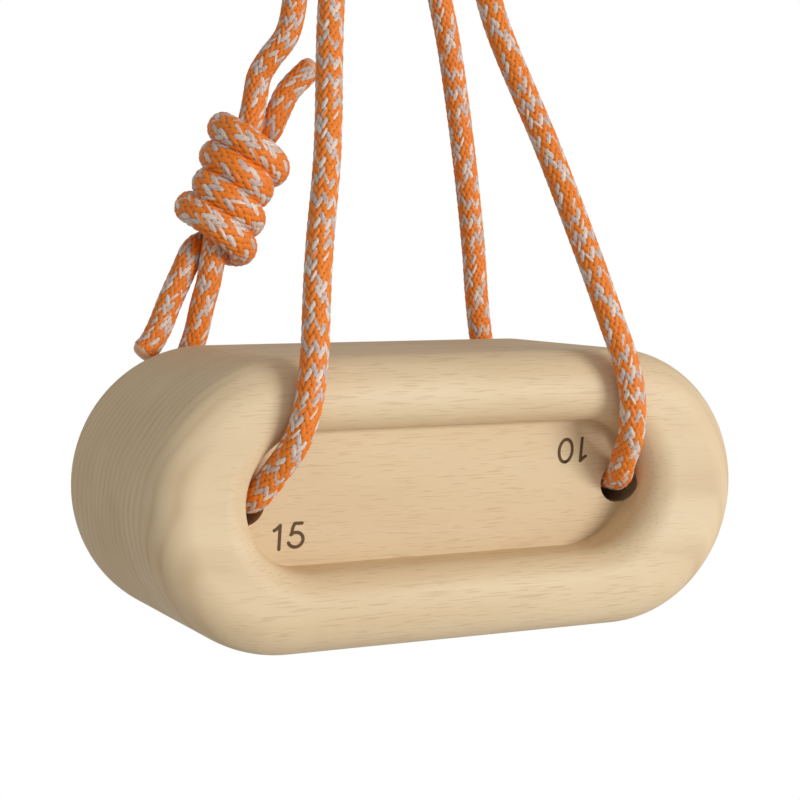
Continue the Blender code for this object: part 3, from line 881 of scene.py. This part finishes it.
# %% Beech material
MM = 1000.0
RING_AXIS = (150.0, -126.0)
RING_WIDTH = 3.3
FINE_RING_WIDTH = 1.1
END_START, END_LENGTH = 48.0, 18.0
WARM_START, WARM_LENGTH = -33.0, 6.0
FLECK_LEVEL, FLECK_EDGE = 0.635, 14.0
FLECK_SHARE = 0.25
LIGHT_BEECH = (0.755, 0.590, 0.374, 1.0)
WARM_BEECH = (0.680, 0.500, 0.295, 1.0)
FLECK_BROWN = (0.370, 0.200, 0.090, 1.0)

beech, tree, shader = new_material("beech", 0.58)
place = node(tree, "ShaderNodeTexCoord", output="Object")
split = node(tree, "ShaderNodeSeparateXYZ", None, {0: place})
world_y = split.output("Y")
world_z = split.output("Z")
x = split.output("X") * MM
y = (world_y * math.cos(TILT) + world_z * math.sin(TILT)) * MM
z = (world_z * math.cos(TILT) - world_y * math.sin(TILT)) * MM


def grain_noise(length, depth_size, height_size, detail=2.0, offset=0.0):
    """Noise whose blobs are that long, deep and high, in millimetres."""
    where = vector(tree, x / length + offset, y / depth_size + offset, z / height_size)
    sockets = {"Vector": where, "Scale": 1.0, "Detail": detail, "Roughness": 0.5}
    return node(tree, "ShaderNodeTexNoise", None, sockets)


# How far towards the round ends a point is, and whether it lies behind the pale front part.
end_share = ((abs(x) - END_START) / END_LENGTH).clamped()
side_share = (1 - end_share * 0.85) * FLECK_SHARE
behind_front = ((y - WARM_START) / WARM_LENGTH).clamped()

# Growth rings.
wander = grain_noise(90, 30, 30, detail=1.0)
crowding = grain_noise(200, 16, 16, detail=0.0, offset=61.0)
across_y = y - RING_AXIS[0]
across_z = z - RING_AXIS[1]
axis_distance = (across_y * across_y + across_z * across_z).math("SQRT")
ring_radius = axis_distance + wander * 5.0 + crowding * 5.0
ring_wave = (ring_radius * (2 * math.pi / RING_WIDTH)).math("SINE") * 0.5 + 0.5
fine_phase = ring_radius * (2 * math.pi / FINE_RING_WIDTH) + wander * 20.0
fine_wave = fine_phase.math("SINE") * 0.5 + 0.5
ring_strength = (0.25 + end_share * 0.75) * grain_noise(60, 9, 9, offset=7.0)
late_wood = (ring_wave**2 * 0.75 + fine_wave * 0.12) * ring_strength

# Flecks of the rays, pores and streaks.
fleck = grain_noise(6.0, 0.7, 0.27, detail=0.0, offset=3.0)
fleck_area = grain_noise(22, 22, 7, detail=1.0, offset=11.0)
fleck_excess = fleck - FLECK_LEVEL - (0.5 - fleck_area) * 0.08
flecks = (fleck_excess * FLECK_EDGE).clamped() * side_share
fine_ray = grain_noise(2.2, 2.0, 0.18, detail=0.0, offset=17.0)
fine_flecks = ((fine_ray - 0.60) * 6.0).clamped() * side_share
pores = grain_noise(9.0, 0.3, 0.3, detail=1.0, offset=23.0)
streaks = grain_noise(70, 1.1, 0.9, detail=1.0, offset=41.0)
cloud = grain_noise(70, 14, 14, detail=2.0, offset=31.0)
pore_share = (((pores - 0.50) * 0.35 + (streaks - 0.5) * 0.25) * side_share).clamped()

warm_share = ((cloud - 0.34) * 1.6 + behind_front * 0.45).clamped()
base = mix_colour(tree, warm_share, LIGHT_BEECH, WARM_BEECH)
with_rings = mix_colour(tree, (late_wood * 0.48).clamped(), base, FLECK_BROWN)
with_pores = mix_colour(tree, pore_share, with_rings, FLECK_BROWN)
with_fine = mix_colour(tree, fine_flecks * 0.12, with_pores, FLECK_BROWN)
wood_colour = mix_colour(tree, flecks * 0.90, with_fine, FLECK_BROWN)
feed(tree, shader.inputs["Base Color"], wood_colour)
feed(tree, shader.inputs["Roughness"], 0.52 + flecks * 0.12 + cloud * 0.1)

dents = 1 - flecks * 0.5 - (pores - 0.5) * 0.5
sanding = grain_noise(16, 16, 16, detail=1.0, offset=51.0)
sanded = bump(tree, 0.5, 0.0006, sanding)
feed(tree, shader.inputs["Normal"], bump(tree, 0.35, 0.00005, dents, Normal=sanded))
block.data.materials.clear()
block.data.materials.append(beech)
print("beech material:", len(tree.nodes), "nodes")

# %% [markdown]
# ## The burnt depth numbers
#
# The pocket floor slants from 15 mm deep at its lower edge to 10 mm at its upper one. Each
# ledge has its depth burnt into the floor beside it, and the upper number is upside down,
# because the block is turned over to use that ledge. A digit is made of strokes with round
# ends, laid on the slanted floor like thin ribbons. The half width h of a stroke falls to
# nothing over the last r of its length as h = r sqrt(1 - (1 - s / r)^2), with r half a stroke.

# %% Digit strokes
FLOOR_SLOPE = -(LEDGES[0] - LEDGES[1]) / FLOOR_HEIGHT
STROKE_WIDTH = 0.80
STROKE_LIFT = 0.03
STROKE_THICKNESS = 0.05
STROKE_STEP = 0.004
FIRST_PHASE = 0.04
STROKE_SECTIONS = 64


def arc(centre, radii, start, end):
    """Points of an ellipse's arc between two angles in degrees."""
    angle = np.radians(np.linspace(start, end, 48))
    right = centre[0] + radii[0] * np.cos(angle)
    up = centre[1] + radii[1] * np.sin(angle)
    return np.stack([right, up], axis=1)


ONE = [[(1.79, 0.30), (1.79, 5.80)], [(0.42, 4.72), (0.95, 5.02), (1.79, 5.80)]]
FIVE = [
    [(7.05, 6.05), (5.28, 6.05)],
    [(5.28, 6.05), (4.90, 5.20), (4.62, 3.50)],
    arc((5.71, 2.28), (1.80, 1.70), 132, -158),
]
ZERO = [arc((6.09, 3.15), (1.80, 2.75), 90, 475)]


def stroke_sections(points):
    """(x, z) of a stroke's left and right edge along its length."""
    points = np.array(points, float)
    lengths = np.linalg.norm(np.diff(points, axis=0), axis=1)
    travelled = np.concatenate([[0.0], np.cumsum(lengths)])
    total = travelled[-1] + STROKE_WIDTH
    phase = np.linspace(FIRST_PHASE, math.pi - FIRST_PHASE, STROKE_SECTIONS)
    wanted = (1 - np.cos(phase)) / 2 * total - STROKE_WIDTH / 2
    first_way = (points[1] - points[0]) / lengths[0]
    last_way = (points[-1] - points[-2]) / lengths[-1]
    line = np.stack([np.interp(wanted, travelled, points[:, axis]) for axis in (0, 1)], axis=1)
    line += np.minimum(wanted, 0)[:, None] * first_way
    line += np.maximum(wanted - travelled[-1], 0)[:, None] * last_way
    way = np.gradient(line, axis=0)
    way = way / np.linalg.norm(way, axis=1, keepdims=True)
    sideways = np.stack([-way[:, 1], way[:, 0]], axis=1)
    radius = STROKE_WIDTH / 2
    from_end = np.minimum(wanted + radius, travelled[-1] + radius - wanted)
    half_width = radius * np.sqrt(1 - np.maximum(1 - from_end / radius, 0) ** 2)
    return line + half_width[:, None] * sideways, line - half_width[:, None] * sideways


def floor_point(spots, lift):
    """Points of the slanted floor, moved out of it along its normal."""
    normal = np.array([0.0, -1.0, FLOOR_SLOPE]) / math.hypot(1.0, FLOOR_SLOPE)
    return np.stack([spots[:, 0], floor_y(spots[:, 1]), spots[:, 1]], axis=1) + lift * normal


def number(name, digits, corner, way_up):
    """A number whose first digit starts at the corner; way_up is -1 for an upside-down one."""
    vertices = []
    faces = []
    strokes = [stroke for digit in digits for stroke in digit]
    for index, stroke in enumerate(strokes):
        edges = (np.array(corner) + way_up * edge for edge in stroke_sections(stroke))
        left_edge, right_edge = edges
        top = STROKE_LIFT + STROKE_STEP * index
        rails = [
            floor_point(left_edge, top),
            floor_point(right_edge, top),
            floor_point(right_edge, top - STROKE_THICKNESS),
            floor_point(left_edge, top - STROKE_THICKNESS),
        ]
        start = len(vertices) * STROKE_SECTIONS * 4
        section, side = np.meshgrid(np.arange(STROKE_SECTIONS - 1), np.arange(4), indexing="ij")
        after = (side + 1) % 4
        here = start + section * 4
        sides = np.stack([here + side, here + 4 + side, here + 4 + after, here + after], axis=-1)
        end = start + (STROKE_SECTIONS - 1) * 4
        first_end = [start, start + 1, start + 2, start + 3]
        last_end = [end + 3, end + 2, end + 1, end]
        faces += [*sides.reshape(-1, 4).tolist(), first_end, last_end]
        vertices.append(np.stack(rails, axis=1).reshape(-1, 3))
    made = object_of(name, to_world(np.concatenate(vertices)), faces)
    made.data.set_sharp_from_angle(angle=math.radians(40))
    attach(made, "hangboard")
    return made


# %% Numbers
DARK_CHAR = (0.070, 0.032, 0.010, 1.0)
LIGHT_CHAR = (0.160, 0.085, 0.030, 1.0)

burnt, tree, shader = new_material("burnt_number", 0.75)
place = node(tree, "ShaderNodeTexCoord", output="Object")
char = node(tree, "ShaderNodeTexNoise", None, {"Vector": place, "Scale": 1400.0, "Detail": 3.0})
feed(tree, shader.inputs["Base Color"], mix_colour(tree, char, DARK_CHAR, LIGHT_CHAR))
numbers = [
    number("deep_ledge_number", [ONE, FIVE], (-42.8, -10.7), way_up=1),
    number("shallow_ledge_number", [ONE, ZERO], (37.4, 11.9), way_up=-1),
]
for made in numbers:
    made.data.materials.append(burnt)
print("numbers:", [made.name for made in numbers])

# %% [markdown]
# ## Floor, sky and lights
#
# The object hangs in front of plain white. The key light stands to the right of the camera and
# a little higher than the block, wide and soft, so that the front and the right end are
# bright, the left end falls to half of that, and the right wall of the pocket and the top are
# in shade.

# %% Stage
GROUND = -0.60


def white_to_camera(tree, lit, output):
    """White where the camera looks straight at it, and lit by the lamps for every other ray."""
    path = node(tree, "ShaderNodeLightPath", output="Is Camera Ray")
    white = node(tree, "ShaderNodeEmission", None, {"Color": (1.0, 1.0, 1.0, 1.0), "Strength": 1.0})
    seen = node(tree, "ShaderNodeMixShader", None, {0: path, 1: lit, 2: white})
    feed(tree, output, seen)


bpy.ops.mesh.primitive_circle_add(
    vertices=96, radius=3.0, fill_type="NGON", location=(0, 0, GROUND),
)
floor = bpy.context.object
floor.name = "floor"
floor_look, tree, shader = new_material("floor", 0.9)
shader.inputs["Base Color"].default_value = (0.80, 0.80, 0.80, 1.0)
surface = tree.nodes["Material Output"].inputs["Surface"]
white_to_camera(tree, Wire(tree, shader.outputs[0]), surface)
floor.data.materials.append(floor_look)

world = bpy.data.worlds.new("studio")
bpy.context.scene.world = world
world.use_nodes = True
tree = world.node_tree
ambient = tree.nodes["Background"]
ambient.inputs["Color"].default_value = (1.0, 0.98, 0.945, 1.0)
ambient.inputs["Strength"].default_value = 0.475
path = node(tree, "ShaderNodeLightPath", output="Is Camera Ray")
white = node(tree, "ShaderNodeBackground", None, {"Color": (1.0, 1.0, 1.0, 1.0), "Strength": 1.0})
soft_light = Wire(tree, ambient.outputs[0])
sky = node(tree, "ShaderNodeMixShader", None, {0: path, 1: soft_light, 2: white})
feed(tree, tree.nodes["World Output"].inputs["Surface"], sky)

BLOCK_MIDDLE = Vector(to_world([0.0, 0.0, 0.0]))


def area_light(name, azimuth, rise, distance, width, height, power):
    """A light aimed at the block. Azimuth 0 is in front of it and 90 at its right end."""
    data = bpy.data.lights.new(name, "AREA")
    data.shape = "RECTANGLE"
    data.size = width
    data.size_y = height
    data.energy = power
    lamp = bpy.data.objects.new(name, data)
    bpy.context.scene.collection.objects.link(lamp)
    a = math.radians(azimuth)
    e = math.radians(rise)
    towards = Vector((math.sin(a) * math.cos(e), -math.cos(a) * math.cos(e), math.sin(e)))
    lamp.location = BLOCK_MIDDLE + towards * distance
    lamp.rotation_euler = towards.to_track_quat("Z", "Y").to_euler()
    return lamp


area_light("key", azimuth=30.0, rise=4.0, distance=2.2, width=1.0, height=0.42, power=27.6)
bpy.context.scene.view_settings.view_transform = "Standard"
print("stage set")
